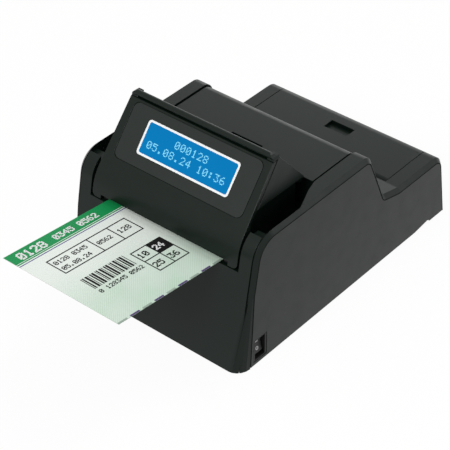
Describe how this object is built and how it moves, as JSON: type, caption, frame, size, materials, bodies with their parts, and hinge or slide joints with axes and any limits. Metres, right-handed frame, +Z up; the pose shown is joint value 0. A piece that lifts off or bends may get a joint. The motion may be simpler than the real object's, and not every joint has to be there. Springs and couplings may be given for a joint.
{
  "type": "ticket printer",
  "caption": "Counter ticket printer with a tilted display head on a hinged cover, a front paper slot with a printed ticket, a rear paper bay under a lid and a rocker switch.",
  "frame": {"origin": "centre of the footprint, on the table", "axes": "+X to the right seen from the front, the front faces -Y, +Z up"},
  "size_m": [0.129, 0.2659, 0.1172],
  "materials": {
    "black_abs": "satin",
    "base_abs": "matte",
    "overlay_film": "satin",
    "white_plastic": "satin",
    "display_glass": "gloss",
    "zinc_steel": "satin",
    "aluminium": "satin",
    "ceramic": "satin",
    "brass": "satin",
    "gear_acetal": "satin",
    "guide_plastic": "matte",
    "circuit_board": "satin",
    "rubber": "matte",
    "ticket_card": "matte"
  },
  "bodies": {
    "root": {"housing": "black_abs", "base_pan": "base_abs", "side_panel_left": "black_abs", "side_panel_right": "black_abs", "rubber_feet": "rubber", "base_screws": "zinc_steel", "cover_hinge_pins": "zinc_steel", "catch_plates": "zinc_steel", "rear_lid_pins": "zinc_steel", "mech_frame": "zinc_steel", "frame_screws": "zinc_steel", "platen_bushings": "brass", "idler_stud": "zinc_steel", "feed_motor": "base_abs", "cutter_bracket": "zinc_steel", "cutter_motor": "zinc_steel", "exit_guide": "base_abs", "paper_sensor": "base_abs", "paper_ramp": "zinc_steel", "paper_tray": "base_abs", "tray_posts": "base_abs", "mainboard": "circuit_board", "board_standoffs": "brass", "board_screws": "zinc_steel", "power_jack": "base_abs", "usb_socket": "zinc_steel", "serial_socket": "zinc_steel", "switch_body": "base_abs"},
    "cover": {"cover_shell": "black_abs", "display_fascia": "black_abs", "display_overlay": "overlay_film", "lcd_frame": "white_plastic", "lcd_glass": "display_glass", "lcd_module": "zinc_steel", "display_board": "circuit_board", "catch_magnets": "zinc_steel", "print_head": "ceramic", "head_heatsink": "aluminium", "head_springs": "zinc_steel", "upper_blade": "zinc_steel"},
    "rear_lid": {"rear_lid": "black_abs"},
    "platen": {"platen_shaft": "zinc_steel", "platen_rubber": "rubber", "platen_gear": "gear_acetal"},
    "idler": {"idler_gear": "gear_acetal"},
    "feed_rotor": {"motor_pinion": "brass"},
    "cutter": {"cutter_blade": "zinc_steel"},
    "cutter_drive": {"cutter_pinion": "gear_acetal"},
    "guide_left": {"paper_guide_left": "guide_plastic"},
    "guide_right": {"paper_guide_right": "guide_plastic"},
    "guide_drive": {"guide_pinion": "gear_acetal"},
    "rocker": {"switch_rocker": "base_abs"},
    "ticket": {"ticket": "ticket_card"}
  },
  "joints": [
    {"name": "cover_hinge", "type": "hinge", "parent": "root", "child": "cover", "pos_m": [0, 0.01081, 0.0765], "axis": [-1, 0, 0], "range_deg": [0, 75]},
    {"name": "rear_lid_hinge", "type": "hinge", "parent": "root", "child": "rear_lid", "pos_m": [0, 0.0514, 0.0411], "axis": [1, 0, 0], "range_deg": [0, 95]},
    {"name": "platen_spin", "type": "hinge", "parent": "root", "child": "platen", "pos_m": [0, -0.039, 0.04967], "axis": [1, 0, 0], "continuous": true},
    {"name": "idler_spin", "type": "hinge", "parent": "root", "child": "idler", "pos_m": [0, -0.02354, 0.03125], "axis": [1, 0, 0], "continuous": true},
    {"name": "feed_motor_spin", "type": "hinge", "parent": "root", "child": "feed_rotor", "pos_m": [0, -0.00536, 0.0228], "axis": [1, 0, 0], "continuous": true},
    {"name": "cutter_slide", "type": "slide", "parent": "root", "child": "cutter", "axis": [0, 0, 1], "range_m": [0, 0.0045]},
    {"name": "cutter_drive_spin", "type": "hinge", "parent": "root", "child": "cutter_drive", "pos_m": [0.033, -0.0554, 0.03374], "axis": [0, 1, 0], "range_deg": [0, 54]},
    {"name": "guide_right_slide", "type": "slide", "parent": "root", "child": "guide_right", "axis": [-1, 0, 0], "range_m": [0, 0.012]},
    {"name": "guide_left_slide", "type": "slide", "parent": "root", "child": "guide_left", "axis": [1, 0, 0], "range_m": [0, 0.012]},
    {"name": "guide_drive_spin", "type": "hinge", "parent": "root", "child": "guide_drive", "pos_m": [0, 0.07046, 0.023], "axis": [0, 0, 1], "range_deg": [0, 144]},
    {"name": "rocker_swing", "type": "hinge", "parent": "root", "child": "rocker", "pos_m": [0.0565, -0.08135, 0.0104], "axis": [0, 1, 0], "range_deg": [0, 14]},
    {"name": "ticket_slide", "type": "slide", "parent": "root", "child": "ticket", "axis": [0, -0.9945, 0.1045], "range_m": [0, 0.022]}
  ],
  "couplings": [
    {"joint": "idler_spin", "follows": "platen_spin", "ratio": -0.66667},
    {"joint": "feed_motor_spin", "follows": "platen_spin", "ratio": 1.7143},
    {"joint": "cutter_drive_spin", "follows": "cutter_slide", "rad_per_m": 208.33},
    {"joint": "guide_left_slide", "follows": "guide_right_slide", "ratio": 1},
    {"joint": "guide_drive_spin", "follows": "guide_right_slide", "rad_per_m": 208.33}
  ]
}
